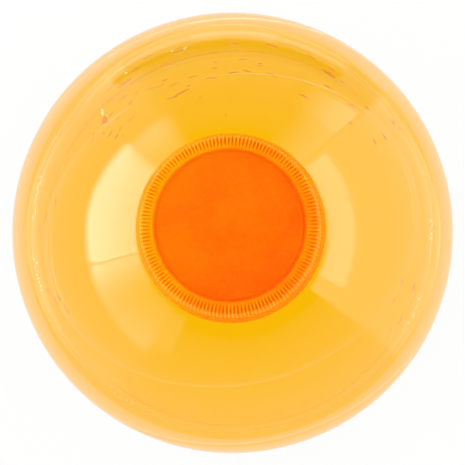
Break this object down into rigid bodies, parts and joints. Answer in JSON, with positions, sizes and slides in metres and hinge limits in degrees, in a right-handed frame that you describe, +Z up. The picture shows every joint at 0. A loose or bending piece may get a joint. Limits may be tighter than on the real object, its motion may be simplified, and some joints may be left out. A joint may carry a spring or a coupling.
{
  "type": "detergent dispenser bottle",
  "caption": "Round clear bottle with a domed shoulder and amber liquid detergent, closed by a fine-ribbed orange screw cap over a pour insert.",
  "frame": {"origin": "centre of the base, on the surface the bottle stands on", "axes": "+Z up along the bottle's axis, -Y towards the front label, X along the mould's parting line"},
  "size_m": [0.095, 0.095, 0.193],
  "materials": {
    "clear_bottle": "gloss",
    "detergent": "gloss",
    "orange_cap": "satin",
    "natural_insert": "satin",
    "liner": "matte",
    "label": "satin"
  },
  "bodies": {
    "bottle": {"bottle_shell": "clear_bottle", "detergent_fill": "detergent", "pour_insert": "natural_insert", "tamper_band": "orange_cap", "front_label": "label", "back_label": "label"},
    "liner": {"cap_liner": "liner"},
    "cap": {"screw_cap": "orange_cap"}
  },
  "joints": [
    {"name": "cap_rise", "type": "slide", "parent": "bottle", "child": "liner", "axis": [0, 0, 1], "range_m": [0, 0.01694]},
    {"name": "cap_turn", "type": "hinge", "parent": "liner", "child": "cap", "pos_m": [0, 0, 0.185], "axis": [0, 0, 1], "range_deg": [0, 1440]}
  ],
  "couplings": [
    {"joint": "cap_rise", "follows": "cap_turn", "m_per_rad": 0.0006737}
  ]
}
